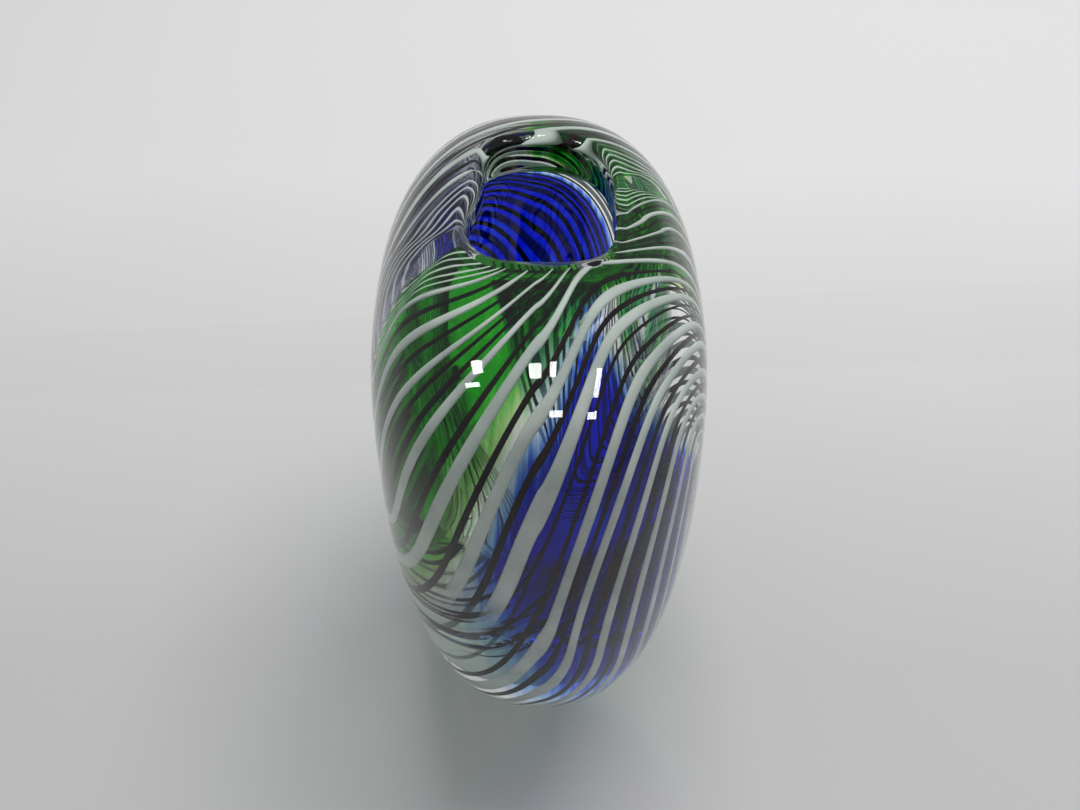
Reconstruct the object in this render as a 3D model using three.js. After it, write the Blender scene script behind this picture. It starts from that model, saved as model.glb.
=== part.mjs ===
// Hand blown art glass vase: a flattened, thick walled pebble with the mouth cut through its top.
// Units are millimetres, +Z is up, and the origin is the centre of the ground foot.
// The narrow way across is X, the long way across is Y.
//
// The wall is built up in the order the glassblower builds it, from the cavity outwards:
//   inner_core      the clear bubble that bounds the cavity
//   *_overlay       thin patches of coloured glass laid on the bubble
//   *_thread_NN     white and amethyst threads wound round it and combed into long swags
//   outer_casing    the clear gather over everything, which also forms the lip and the foot
import * as THREE from 'three';

// ---- outside of the body ----
const HALF_WIDTH = 52;
const HALF_DEPTH = 85;
const HEIGHT = 190;
const WIDEST_Z = 114.7;
const BELOW_FOOT = 8; // how much of the rounded bottom is ground away to make the foot
const PLAN_POWER = 2.34; // squareness of a level slice
const SHOULDER_POWER = 3.0; // squareness of the upper profile
const BELLY_POWER = 2.28; // squareness of the lower profile

// ---- depth of each layer under the outside surface: [outer face, inner face] ----
const CASING_DEPTH = 2.4;
const THREAD_LAYER = [3.4, 4.3];
const OVERLAY_LAYER = [5.2, 5.8];
const CORE_DEPTH = 7.1;
const FOOT_GLASS = 4; // clear glass under the inner layers at the foot

// ---- the cavity, an egg with its narrow end down ----
const WALL = 11; // glass over the cavity at the shoulder and on the narrow sides
const CAVITY_HALF_DEPTH = 68;
const CAVITY_WIDEST_Z = 126;
const CAVITY_FLOOR_Z = 28;
const CAVITY_BELLY_POWER = 1.6;

// ---- mouth ----
// Radius of the mouth from its centre at every 30 degrees, from the -Y edge round by +X.
const MOUTH_CENTRE = [1, 5.5];
const MOUTH_RADII = [31, 31.5, 24.2, 21.2, 23.5, 29, 30.5, 29.5, 19.8, 18.8, 24.5, 31];
const MOUTH_WIDTH_TO_LENGTH = 0.68;
const LIP_ROUND = 3.4;
const LIP_RING = 4.2; // width of the solid ring of casing glass round the mouth
const LIP_ROLL = 1.5; // average drop of the ring's lower edge below the cavity ceiling
const LOWEST_ROLL = 150; // azimuth where the roll hangs lowest
const LAYER_CLEARANCE = 0.6; // from the lip ring to the first thread, overlay or core

// ---- mesh density ----
const COLUMNS = 40;

const RADIANS = Math.PI / 180;
const signedPower = (value, power) => Math.sign(value) * Math.abs(value) ** power;
const mix = (a, b, t) => a + (b - a) * t;

// Shape of the layer that lies a given depth under the outside. The layer at WALL is the cavity.
function layerShape(depth) {
  const cavity = depth === WALL;
  const lowest = depth === 0 ? -BELOW_FOOT : FOOT_GLASS + depth;
  const widest = cavity ? CAVITY_WIDEST_Z : WIDEST_Z;
  return {
    width: HALF_WIDTH - depth,
    length: cavity ? CAVITY_HALF_DEPTH : HALF_DEPTH - depth,
    widest,
    rise: HEIGHT - depth - widest,
    drop: widest - (cavity ? CAVITY_FLOOR_Z : lowest),
    bellyPower: cavity ? CAVITY_BELLY_POWER : BELLY_POWER,
  };
}

// Point of a layer at an azimuth (0 faces -Y, positive towards +X) and a latitude, in degrees.
// Latitude runs from 90 at the crown through 0 at the widest level to BOTTOM_LATITUDE, so that a
// degree is the same height just above and just below the widest level.
const BOTTOM_LATITUDE = (-90 * (WIDEST_Z + BELOW_FOOT)) / (HEIGHT - WIDEST_Z);

function layerPoint(azimuth, latitude, depth) {
  const shape = layerShape(depth);
  const upper = latitude >= 0;
  const power = upper ? SHOULDER_POWER : shape.bellyPower;
  const share = upper ? latitude / 90 : -latitude / BOTTOM_LATITUDE;
  const lift = Math.sin((share * Math.PI) / 2);
  const radius = (1 - Math.abs(lift) ** power) ** (1 / power);
  return new THREE.Vector3(
    shape.width * radius * signedPower(Math.sin(azimuth * RADIANS), 2 / PLAN_POWER),
    -shape.length * radius * signedPower(Math.cos(azimuth * RADIANS), 2 / PLAN_POWER),
    shape.widest + lift * (upper ? shape.rise : shape.drop),
  );
}

// Height of the upper surface of a layer over a plan position.
function layerTop(x, y, depth) {
  const shape = layerShape(depth);
  const reach = Math.abs(x / shape.width) ** PLAN_POWER + Math.abs(y / shape.length) ** PLAN_POWER;
  const rest = Math.max(0, 1 - reach ** (SHOULDER_POWER / PLAN_POWER));
  return shape.widest + shape.rise * rest ** (1 / SHOULDER_POWER);
}

// Radius of the mouth at a bearing in degrees, smooth through the listed radii.
function mouthRadius(bearing) {
  const count = MOUTH_RADII.length;
  const place = ((bearing / 360) * count + 2 * count) % count;
  const whole = Math.floor(place);
  const t = place - whole;
  const [r0, r1, r2, r3] = [-1, 0, 1, 2].map((k) => MOUTH_RADII[(whole + k + count) % count]);
  const bend = (2 * r0 - 5 * r1 + 4 * r2 - r3) * t * t;
  const twist = (3 * r1 - r0 - 3 * r2 + r3) * t * t * t;
  return 0.5 * (2 * r1 + (r2 - r0) * t + bend + twist);
}

// Outline of the mouth, grown outwards by some millimetres.
function mouthPoint(azimuth, grow) {
  const across = signedPower(Math.sin(azimuth * RADIANS), 2 / PLAN_POWER) * MOUTH_WIDTH_TO_LENGTH;
  const along = signedPower(Math.cos(azimuth * RADIANS), 2 / PLAN_POWER);
  const bearing = Math.atan2(across, along);
  const radius = mouthRadius(bearing / RADIANS) + grow;
  return [MOUTH_CENTRE[0] + radius * Math.sin(bearing), MOUTH_CENTRE[1] - radius * Math.cos(bearing)];
}

// True outside the lip ring.
function clearOfLip(point) {
  const x = point.x - MOUTH_CENTRE[0];
  const y = point.y - MOUTH_CENTRE[1];
  return Math.hypot(x, y) > mouthRadius(Math.atan2(x, -y) / RADIANS) + LIP_RING + LAYER_CLEARANCE;
}

// ---- mesh helpers ----
function meshFrom(name, positions, triangles, material) {
  const geometry = new THREE.BufferGeometry();
  geometry.setAttribute('position', new THREE.Float32BufferAttribute(positions, 3));
  geometry.setIndex(triangles);
  geometry.computeVertexNormals();
  const mesh = new THREE.Mesh(geometry, material);
  mesh.name = name;
  return mesh;
}

// Body of revolution style skin: rings of COLUMNS points from the bottom outside, over the mouth,
// to the bottom inside, closed at both ends by a centre point.
function closedShell(name, firstCentre, rings, lastCentre, material) {
  const positions = [...firstCentre];
  rings.forEach((ring) => ring.forEach((p) => positions.push(...p)));
  positions.push(...lastCentre);
  const last = 1 + rings.length * COLUMNS;
  const at = (row, column) => 1 + row * COLUMNS + (column % COLUMNS);
  const triangles = [];
  for (let column = 0; column < COLUMNS; column += 1) {
    triangles.push(0, at(0, column + 1), at(0, column));
    for (let row = 0; row + 1 < rings.length; row += 1) {
      triangles.push(at(row, column), at(row, column + 1), at(row + 1, column));
      triangles.push(at(row, column + 1), at(row + 1, column + 1), at(row + 1, column));
    }
    triangles.push(last, at(rings.length - 1, column), at(rings.length - 1, column + 1));
  }
  return meshFrom(name, positions, triangles, material);
}

const azimuths = Array.from({ length: COLUMNS }, (_, i) => (i * 360) / COLUMNS);
const levelRing = (latitude, depth) => azimuths.map((a) => layerPoint(a, latitude, depth).toArray());

// Rings that close in from a level slice of a layer to the grown mouth outline.
const CLOSING_LATITUDE = 54;
function closingRing(share, grow, depth) {
  return azimuths.map((a) => {
    const start = layerPoint(a, CLOSING_LATITUDE, depth);
    const end = mouthPoint(a, grow);
    const x = mix(start.x, end[0], share);
    const y = mix(start.y, end[1], share);
    return [x, y, layerTop(x, y, depth)];
  });
}

// A ring on the mouth outline, a given drop below the surface of a layer at that spot.
const lipRing = (grow, depth, drop) =>
  azimuths.map((a) => {
    const [x, y] = mouthPoint(a, grow);
    return [x, y, layerTop(x, y, depth) - drop(a)];
  });

const rollDrop = (azimuth) => LIP_ROLL * (1 + Math.cos((azimuth - LOWEST_ROLL) * RADIANS));

// ---- the two clear bodies ----
const RISING_LATITUDES = [-77, -57, -37, -18, 0, 11, 23, 34, 44, CLOSING_LATITUDE];

function outerCasing(material) {
  const footShare = Math.asin(WIDEST_Z / (WIDEST_Z + BELOW_FOOT)) / (Math.PI / 2);
  const footLatitude = footShare * BOTTOM_LATITUDE;
  const outside = [footLatitude, -98, ...RISING_LATITUDES].map((l) => levelRing(l, 0));
  outside[0].forEach((point) => {
    point[2] = 0;
  });
  [0.3, 0.55, 0.8, 1].forEach((share) => outside.push(closingRing(share, LIP_ROUND, 0)));
  const lip = [35, 65, 90].map((angle) => {
    const drop = LIP_ROUND * (1 - Math.cos(angle * RADIANS));
    return lipRing(LIP_ROUND * (1 - Math.sin(angle * RADIANS)), 0, () => drop);
  });
  lip.push(lipRing(0, WALL, (a) => rollDrop(a) - 1.6));
  lip.push(lipRing(1.4, WALL, rollDrop));
  lip.push(lipRing(LIP_RING, WALL, (a) => 0.6 * rollDrop(a)));
  const inside = [1, 0.7, 0.35].map((share) => closingRing(share, LIP_RING, CASING_DEPTH));
  [...RISING_LATITUDES].reverse().forEach((l) => inside.push(levelRing(l, CASING_DEPTH)));
  inside.push(levelRing(-98, CASING_DEPTH), levelRing(-119, CASING_DEPTH));
  const innerBottom = FOOT_GLASS + CASING_DEPTH;
  const rings = [...outside, ...lip, ...inside];
  return closedShell('outer_casing', [0, 0, 0], rings, [0, 0, innerBottom], material);
}

function innerCore(material) {
  const edge = LIP_RING + LAYER_CLEARANCE;
  const outside = [-119, -98, ...RISING_LATITUDES].map((l) => levelRing(l, CORE_DEPTH));
  [0.35, 0.7, 1].forEach((share) => outside.push(closingRing(share, edge, CORE_DEPTH)));
  const inside = [1, 0.7, 0.35].map((share) => closingRing(share, edge, WALL));
  [...RISING_LATITUDES].reverse().forEach((l) => inside.push(levelRing(l, WALL)));
  inside.push(levelRing(-98, WALL), levelRing(-119, WALL));
  const bottom = FOOT_GLASS + CORE_DEPTH;
  const floor = [0, 0, CAVITY_FLOOR_Z];
  return closedShell('inner_core', [0, 0, bottom], [...outside, ...inside], floor, material);
}

// ---- the combing ----
// Each course of thread was wound level and then combed. Going round the vase it runs from a trough
// up a leg to a crest and down the other leg to the next trough, once across the front and once
// across the back. Each of these eight stretches is a cubic arc, close to a quarter of an ellipse,
// that is level at its trough or crest. At its leg it is upright, or leans by the leg's slant, in
// degrees of azimuth to a degree of latitude. Courses are counted from the mouth down. The lists
// below hold the values of the courses in KEY_COURSES, and every other course lies between them.
const KEY_COURSES = [-2, 0, 2, 4, 6, 8, 12];
const LEFT_TROUGH = -75;
const RIGHT_TROUGH = 105;
const TROUGH_LATITUDE = [62, 25, -5, -25, -55, -105, -140];
const FRONT_COMBING = {
  leftLeg: {
    azimuth: [-72, -69, -56, -30, -4, 8, 46],
    latitude: [74, 50, 30, 20, 12, -25, -55],
    slant: [0.1, 0.1, 0.35, 0.45, 0.3, 0.1, 0],
  },
  crest: { azimuth: [35, 35, 32, 36, 39, 49, 61], latitude: [89, 87, 82, 78, 63, 44, 18] },
  rightLeg: { azimuth: [104.5, 104, 95, 86, 82, 79, 75], latitude: [74, 50, 45, 40, 33, 24, -28] },
};
const BACK_COMBING = {
  leftLeg: { azimuth: [112, 120, 128, 134, 137, 150, 194], latitude: [74, 45, 27, 10, -4, -22, -38] },
  crest: { azimuth: [205, 205, 200, 202, 205, 207, 226], latitude: [89, 82, 67, 52, 38, 28, 7] },
  rightLeg: { azimuth: [278, 270, 268, 266, 264, 262, 256], latitude: [74, 50, 25, 8, -16, -38, -70] },
};
const PHASES = 8; // arcs once round the vase, counted from the left trough
const ARC_PULL = 1.66; // pull of the end directions that makes a cubic arc nearly elliptical

// Value of a list at a course number, which may lie between key courses or a little past the last.
function atCourse(number, list) {
  const last = KEY_COURSES.length - 2;
  const found = KEY_COURSES.findIndex((key) => key > number) - 1;
  const lower = found < 0 ? last : Math.min(found, last);
  const share = (number - KEY_COURSES[lower]) / (KEY_COURSES[lower + 1] - KEY_COURSES[lower]);
  return mix(list[lower], list[lower + 1], share);
}

// [azimuth, latitude] and slant of a trough, leg or crest.
function turningPoint(number, { azimuth, latitude, slant }) {
  const at = (values) => (Array.isArray(values) ? atCourse(number, values) : values);
  return { spot: [at(azimuth), at(latitude)], slant: at(slant ?? 0) };
}

// [azimuth, latitude] of a course at a phase from 0 to PHASES.
function courseSpot(number, phase) {
  const trough = (azimuth) => ({ azimuth, latitude: TROUGH_LATITUDE });
  const turns = [
    trough(LEFT_TROUGH),
    FRONT_COMBING.leftLeg,
    FRONT_COMBING.crest,
    FRONT_COMBING.rightLeg,
    trough(RIGHT_TROUGH),
    BACK_COMBING.leftLeg,
    BACK_COMBING.crest,
    BACK_COMBING.rightLeg,
    trough(LEFT_TROUGH + 360),
  ];
  const arc = Math.min(Math.floor(phase), PHASES - 1);
  const [from, to] = [arc, arc + 1].map((i) => turningPoint(number, turns[i]));
  const [across, rise] = [0, 1].map((axis) => to.spot[axis] - from.spot[axis]);
  const level = [across, 0];
  const leaning = [rise * (from.slant + to.slant), rise];
  const [leaving, arriving] = arc % 2 === 0 ? [level, leaning] : [leaning, level];
  const t = phase - arc;
  return [0, 1].map((axis) => {
    const straight = mix(from.spot[axis], to.spot[axis], t * t * (3 - 2 * t));
    const bow = leaving[axis] * t * (1 - t) ** 2 - arriving[axis] * t * t * (1 - t);
    return straight + ARC_PULL * bow;
  });
}

// ---- the threads ----
// Each thread lies between two courses, which its edges follow.
const WHITE_THREADS = [
  [0, 0.16], [0.86, 1.14], [1.9, 2.1], [2.88, 3.12], [3.82, 4.14], [4.85, 5.18], [5.72, 6.1],
  [6.98, 7.32], [7.8, 8.12], [8.8, 9.14], [9.8, 10.14], [10.8, 11.14], [11.75, 12],
];
const DARK_THREADS = [
  [0.42, 0.6], [1.4, 1.56], [2.24, 2.38], [2.6, 2.76], [3.5, 3.68], [4.5, 4.68], [5.4, 5.58],
  [6.24, 6.34], [6.68, 6.83], [7.45, 7.64], [8.36, 8.6], [9.36, 9.6], [10.36, 10.6], [11.36, 11.58],
];
const FOOT_LATITUDE = -116; // threads stop short of the foot
const SAMPLES_PER_COURSE = 240;
const THREAD_STEP = 21; // counted length of one straight facet along a thread
const BEND_WEIGHT = 24; // extra length counted for each radian of bend, so bends get shorter facets
const EDGE_INSET = 0.15; // each edge draws in by this much, so that threads never touch

// The stretches of a thread that lie outside the lip ring and above the foot.
function threadRuns(edges) {
  const samples = [];
  for (let i = 0; i < SAMPLES_PER_COURSE; i += 1) {
    const phase = (PHASES * i) / SAMPLES_PER_COURSE;
    const spots = edges.map((edge) => courseSpot(edge, phase));
    const valid = spots.every(
      (spot) => spot[1] > FOOT_LATITUDE && clearOfLip(layerPoint(...spot, THREAD_LAYER[0])),
    );
    samples.push({ spots, valid });
  }
  const firstGap = samples.findIndex((sample) => !sample.valid);
  if (firstGap < 0) {
    return [{ samples, closed: true }];
  }
  const runs = [];
  let run = [];
  for (let i = 0; i <= SAMPLES_PER_COURSE; i += 1) {
    const sample = samples[(firstGap + i) % SAMPLES_PER_COURSE];
    if (sample.valid) {
      run.push(sample);
    } else {
      if (run.length > 8) {
        runs.push({ samples: run, closed: false });
      }
      run = [];
    }
  }
  return runs;
}

// Picks samples about one facet length apart.
function thinOut({ samples, closed }) {
  const middles = samples.map(({ spots }) =>
    layerPoint((spots[0][0] + spots[1][0]) / 2, (spots[0][1] + spots[1][1]) / 2, THREAD_LAYER[0]),
  );
  const heading = (i) => middles[(i + 1) % middles.length].clone().sub(middles[i]).normalize();
  const reach = [0];
  for (let i = 1; i < middles.length; i += 1) {
    const bend = closed || i + 1 < middles.length ? heading(i).angleTo(heading(i - 1)) : 0;
    reach.push(reach[i - 1] + middles[i].distanceTo(middles[i - 1]) + BEND_WEIGHT * bend);
  }
  const closing = closed ? middles[0].distanceTo(middles[middles.length - 1]) : 0;
  const total = reach[reach.length - 1] + closing;
  const steps = Math.max(4, Math.round(total / THREAD_STEP));
  const picks = [];
  for (let k = 0; k < (closed ? steps : steps + 1); k += 1) {
    const target = (total * k) / steps;
    let best = 0;
    reach.forEach((value, i) => {
      if (Math.abs(value - target) < Math.abs(reach[best] - target)) {
        best = i;
      }
    });
    picks.push(samples[best]);
  }
  return picks;
}

// One thread: a strip of glass with a flat outer face and a ridge pressed into the layer below.
function threadMesh(name, run, material) {
  const picks = thinOut(run);
  const positions = [];
  picks.forEach(({ spots }) => {
    const [left, right] = spots;
    const ridge = [(left[0] + right[0]) / 2, (left[1] + right[1]) / 2];
    const middle = layerPoint(...ridge, THREAD_LAYER[0]);
    [left, right].forEach((edge) => {
      const corner = layerPoint(...edge, THREAD_LAYER[0]);
      const inset = Math.min(0.3, EDGE_INSET / corner.distanceTo(middle));
      positions.push(...corner.lerp(middle, inset).toArray());
    });
    positions.push(...layerPoint(...ridge, THREAD_LAYER[1]).toArray());
  });
  const triangles = [];
  const sections = run.closed ? picks.length : picks.length - 1;
  for (let k = 0; k < sections; k += 1) {
    const here = k * 3;
    const next = ((k + 1) % picks.length) * 3;
    for (let side = 0; side < 3; side += 1) {
      const other = (side + 1) % 3;
      triangles.push(here + side, here + other, next + side);
      triangles.push(here + other, next + other, next + side);
    }
  }
  if (!run.closed) {
    const end = (picks.length - 1) * 3;
    triangles.push(0, 2, 1);
    triangles.push(end, end + 1, end + 2);
  }
  return meshFrom(name, positions, triangles, material);
}

function addThreads(group, prefix, threads, makeMaterial) {
  let number = 0;
  threads.forEach((edges) => {
    threadRuns(edges).forEach((run) => {
      number += 1;
      group.add(threadMesh(`${prefix}_${String(number).padStart(2, '0')}`, run, makeMaterial()));
    });
  });
}

// ---- the colour patches ----
// The patches were combed with the threads, so each spans some courses, from the upper one to the
// lower one, and some phases along them.
const GREEN_FRONT = { courses: [-1.8, 4.9], phases: [0.05, 3.9] };
const COBALT_FRONT = { courses: [5, 12.8], phases: [0.6, 1.9] };
const GREEN_BACK = { courses: [-1.8, 4.3], phases: [4.1, 5.9] };
const COBALT_BACK = { courses: [6.1, 12.6], phases: [4.7, 6.6] };
const VIOLET_LEFT = { courses: [-1.8, 3.2], phases: [6.2, 7.95] };
const COURSE_STEP = 0.05;

// The highest course, no higher than a given one, that is clear of the lip ring at a phase.
function firstClearCourse(course, phase) {
  let number = course;
  while (!clearOfLip(layerPoint(...courseSpot(number, phase), OVERLAY_LAYER[1]))) {
    number += COURSE_STEP;
  }
  return number;
}

function overlayPatch(name, { courses, phases }, along, across, material) {
  const faces = OVERLAY_LAYER.map(() => []);
  for (let i = 0; i <= along; i += 1) {
    const phase = mix(phases[0], phases[1], i / along);
    const upper = firstClearCourse(courses[0], phase);
    for (let j = 0; j <= across; j += 1) {
      const spot = courseSpot(mix(courses[1], upper, j / across), phase);
      OVERLAY_LAYER.forEach((depth, k) => faces[k].push(...layerPoint(...spot, depth).toArray()));
    }
  }
  const positions = [...faces[0], ...faces[1]];
  const under = faces[0].length / 3;
  const at = (i, j) => i * (across + 1) + j;
  const triangles = [];
  const quad = (a, b, c, d) => triangles.push(a, b, c, a, c, d);
  for (let i = 0; i < along; i += 1) {
    for (let j = 0; j < across; j += 1) {
      quad(at(i, j), at(i + 1, j), at(i + 1, j + 1), at(i, j + 1));
      quad(under + at(i, j), under + at(i, j + 1), under + at(i + 1, j + 1), under + at(i + 1, j));
    }
    quad(at(i + 1, 0), at(i, 0), under + at(i, 0), under + at(i + 1, 0));
    quad(at(i, across), at(i + 1, across), under + at(i + 1, across), under + at(i, across));
  }
  for (let j = 0; j < across; j += 1) {
    quad(at(0, j), at(0, j + 1), under + at(0, j + 1), under + at(0, j));
    quad(at(along, j + 1), at(along, j), under + at(along, j), under + at(along, j + 1));
  }
  return meshFrom(name, positions, triangles, material);
}

// ---- colours ----
const glass = (color, roughness) =>
  new THREE.MeshStandardMaterial({ color, roughness, metalness: 0 });
const clearGlass = () => glass(0xe4ecec, 0.04);
const whiteGlass = () => glass(0xdde3dd, 0.15);
const amethystGlass = () => glass(0x1c0d14, 0.12);
const greenGlass = () => glass(0x148a26, 0.08);
const cobaltGlass = () => glass(0x1430c0, 0.08);
const violetGlass = () => glass(0x4a4668, 0.08);

const vase = new THREE.Group();
vase.name = 'art_glass_vase';
vase.add(outerCasing(clearGlass()));
vase.add(innerCore(clearGlass()));
vase.add(overlayPatch('green_overlay_front', GREEN_FRONT, 32, 6, greenGlass()));
vase.add(overlayPatch('cobalt_overlay_front', COBALT_FRONT, 14, 10, cobaltGlass()));
vase.add(overlayPatch('green_overlay_back', GREEN_BACK, 18, 6, greenGlass()));
vase.add(overlayPatch('cobalt_overlay_back', COBALT_BACK, 12, 7, cobaltGlass()));
vase.add(overlayPatch('violet_overlay_left', VIOLET_LEFT, 14, 6, violetGlass()));
addThreads(vase, 'white_thread', WHITE_THREADS, whiteGlass);
addThreads(vase, 'dark_thread', DARK_THREADS, amethystGlass);

export default vase;
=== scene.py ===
"""Hand blown art glass vase on a pale sweep.

The body is a flattened, thick walled pebble of clear glass with its mouth cut through the top.
White and amethyst threads, combed into long swags, lie under the clear outer casing, and thin
overlays of green, cobalt and violet glass lie under the threads.

Lengths below are millimetres unless a name says otherwise; meshes are made in metres.
"""

import math

import bpy
import numpy as np
from mathutils import Matrix, Vector


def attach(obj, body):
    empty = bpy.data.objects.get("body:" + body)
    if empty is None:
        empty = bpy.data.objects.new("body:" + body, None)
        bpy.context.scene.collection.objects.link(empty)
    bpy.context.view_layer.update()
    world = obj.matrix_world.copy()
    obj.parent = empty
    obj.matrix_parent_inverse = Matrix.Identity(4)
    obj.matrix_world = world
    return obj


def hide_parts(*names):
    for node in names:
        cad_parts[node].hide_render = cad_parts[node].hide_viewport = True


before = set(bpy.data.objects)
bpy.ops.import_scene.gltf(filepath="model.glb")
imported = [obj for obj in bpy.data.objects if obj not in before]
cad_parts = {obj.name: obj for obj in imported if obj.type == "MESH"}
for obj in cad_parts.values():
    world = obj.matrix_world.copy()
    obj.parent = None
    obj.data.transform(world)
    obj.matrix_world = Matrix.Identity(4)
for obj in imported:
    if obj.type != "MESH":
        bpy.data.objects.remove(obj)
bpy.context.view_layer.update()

MM = 0.001

# ---- outside of the body ----
HALF_WIDTH = 52.0
HALF_DEPTH = 85.0
HEIGHT = 190.0
WIDEST_Z = 114.7
BELOW_FOOT = 8.0
PLAN_POWER = 2.34
SHOULDER_POWER = 3.0
BELLY_POWER = 2.28
BOTTOM_LATITUDE = -90 * (WIDEST_Z + BELOW_FOOT) / (HEIGHT - WIDEST_Z)

# ---- depth of each layer under the outside ----
CASING_DEPTH = 2.4
THREAD_TOP = 3.2
THREAD_BOTTOM = 4.6
OVERLAY_LAYER = (5.2, 5.7)
CORE_DEPTH = 7.1
WALL = 11.0
FOOT_GLASS = 4.0

# ---- the cavity, an egg with a narrow end down ----
CAVITY_HALF_WIDTH = 41.0
CAVITY_HALF_DEPTH = 68.0
CAVITY_WIDEST_Z = 126.0
CAVITY_FLOOR_Z = 28.0
CAVITY_BELLY_POWER = 1.6

# ---- mouth: radius from its centre every 30 degrees, from the -Y edge round by +X ----
MOUTH_CENTRE = (1.0, 5.5)
MOUTH_RADII = (31, 31.5, 24.2, 21.2, 23.5, 29, 30.5, 29.5, 19.8, 18.8, 24.5, 31)
MOUTH_WIDTH_TO_LENGTH = 0.68
LIP_ROUND = 3.4
LIP_EDGE = 1.2  # width of the ring of glass that the casing folds over the core at the mouth
LIP_ROLL = 1.5
LOWEST_ROLL = 150
ROLL_FADE = 14.0  # how far out from the mouth the roll of the lip dies away on the cavity ceiling
TURN_LENGTH = 2.4  # the rounded inner edge of the mouth, measured outwards and upwards
TURN_RISE = 2.2


# ---------------------------------------------------------------- layer geometry
def signed_power(value, power):
    """Power of the size of a value, with the sign of the value."""
    return np.sign(value) * np.abs(value) ** power


def layer_shape(depth):
    """Half width, half length, widest level, rise above it, drop below it and belly power."""
    top = HEIGHT - depth
    if depth == WALL:
        size = CAVITY_HALF_WIDTH, CAVITY_HALF_DEPTH, CAVITY_WIDEST_Z
        return *size, top - CAVITY_WIDEST_Z, CAVITY_WIDEST_Z - CAVITY_FLOOR_Z, CAVITY_BELLY_POWER
    lowest = -BELOW_FOOT if depth == 0 else FOOT_GLASS + depth
    size = HALF_WIDTH - depth, HALF_DEPTH - depth, WIDEST_Z
    return *size, top - WIDEST_Z, WIDEST_Z - lowest, BELLY_POWER


def layer_point(azimuth, latitude, depth):
    """Points of a layer. Azimuth 0 faces -Y and grows towards +X; latitude 90 is the crown."""
    width, length, widest, rise, drop, belly = layer_shape(depth)
    azimuth, latitude = np.broadcast_arrays(np.radians(azimuth), np.asarray(latitude, float))
    upper = latitude >= 0
    power = np.where(upper, SHOULDER_POWER, belly)
    lift = np.sin(np.where(upper, latitude / 90, -latitude / BOTTOM_LATITUDE) * math.pi / 2)
    radius = np.maximum(1 - np.abs(lift) ** power, 0) ** (1 / power)
    x = width * radius * signed_power(np.sin(azimuth), 2 / PLAN_POWER)
    y = -length * radius * signed_power(np.cos(azimuth), 2 / PLAN_POWER)
    z = widest + lift * np.where(upper, rise, drop)
    return np.stack([x, y, z], -1)


def layer_top(x, y, depth):
    """Height of the upper surface of a layer over a plan position."""
    width, length, widest, rise, _, _ = layer_shape(depth)
    reach = np.abs(x / width) ** PLAN_POWER + np.abs(y / length) ** PLAN_POWER
    rest = np.maximum(0, 1 - reach ** (SHOULDER_POWER / PLAN_POWER))
    return widest + rise * rest ** (1 / SHOULDER_POWER)


def mouth_radius(bearing):
    """Radius of the mouth at a bearing in degrees, smooth through the listed radii."""
    count = len(MOUTH_RADII)
    place = (np.asarray(bearing, float) / 360 * count) % count
    whole = np.floor(place).astype(int)
    t = place - whole
    r0, r1, r2, r3 = (np.array(MOUTH_RADII, float)[(whole + k) % count] for k in (-1, 0, 1, 2))
    bend = (2 * r0 - 5 * r1 + 4 * r2 - r3) * t**2
    twist = (3 * r1 - r0 - 3 * r2 + r3) * t**3
    return 0.5 * (2 * r1 + (r2 - r0) * t + bend + twist)


def mouth_outline(azimuth, grow):
    """Plan positions on the mouth outline, grown outwards."""
    angle = np.radians(azimuth)
    across = signed_power(np.sin(angle), 2 / PLAN_POWER) * MOUTH_WIDTH_TO_LENGTH
    along = signed_power(np.cos(angle), 2 / PLAN_POWER)
    bearing = np.arctan2(across, along)
    radius = mouth_radius(np.degrees(bearing)) + grow
    x = MOUTH_CENTRE[0] + radius * np.sin(bearing)
    y = MOUTH_CENTRE[1] - radius * np.cos(bearing)
    return x, y


def gap_to_mouth(points):
    """How far points lie outside the mouth outline, seen from above, and their bearing."""
    x = points[..., 0] - MOUTH_CENTRE[0]
    y = points[..., 1] - MOUTH_CENTRE[1]
    bearing = np.degrees(np.arctan2(x, -y))
    return np.hypot(x, y) - mouth_radius(bearing), bearing


# ---------------------------------------------------------------- mesh helpers
def finish_piece(mesh, name, materials, nodes):
    """Turns a mesh into a smooth shaded piece that stands for some CAD nodes."""
    mesh.validate()
    for polygon in mesh.polygons:
        polygon.use_smooth = True
    piece = bpy.data.objects.new(name, mesh)
    bpy.context.scene.collection.objects.link(piece)
    for material in materials:
        mesh.materials.append(material)
    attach(piece, "root")
    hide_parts(*nodes)
    return piece


def mesh_from(name, points, faces):
    """A mesh in metres from points in millimetres."""
    mesh = bpy.data.meshes.new(name)
    mesh.from_pydata((np.asarray(points) * MM).tolist(), [], faces)
    return mesh


def skin(name, rings, first_centre, last_centre):
    """Closed skin through rings of equally many points, closed at both ends by a centre point."""
    columns = len(rings[0])
    points = np.concatenate([[first_centre], *rings, [last_centre]])
    last = len(points) - 1

    def at(row, column):
        return 1 + row * columns + column % columns

    faces = []
    for column in range(columns):
        faces.append((0, at(0, column + 1), at(0, column)))
        for row in range(len(rings) - 1):
            faces.append(
                (at(row, column), at(row, column + 1), at(row + 1, column + 1), at(row + 1, column))
            )
        faces.append((last, at(len(rings) - 1, column), at(len(rings) - 1, column + 1)))
    return mesh_from(name, points, faces)


def use_second_material(mesh, first_row, last_row):
    """Gives the faces between two rings of a skin its second material."""
    per_column = len(mesh.polygons) // COLUMNS
    for number, polygon in enumerate(mesh.polygons):
        row = number % per_column - 1
        if first_row <= row < last_row:
            polygon.material_index = 1


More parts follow.
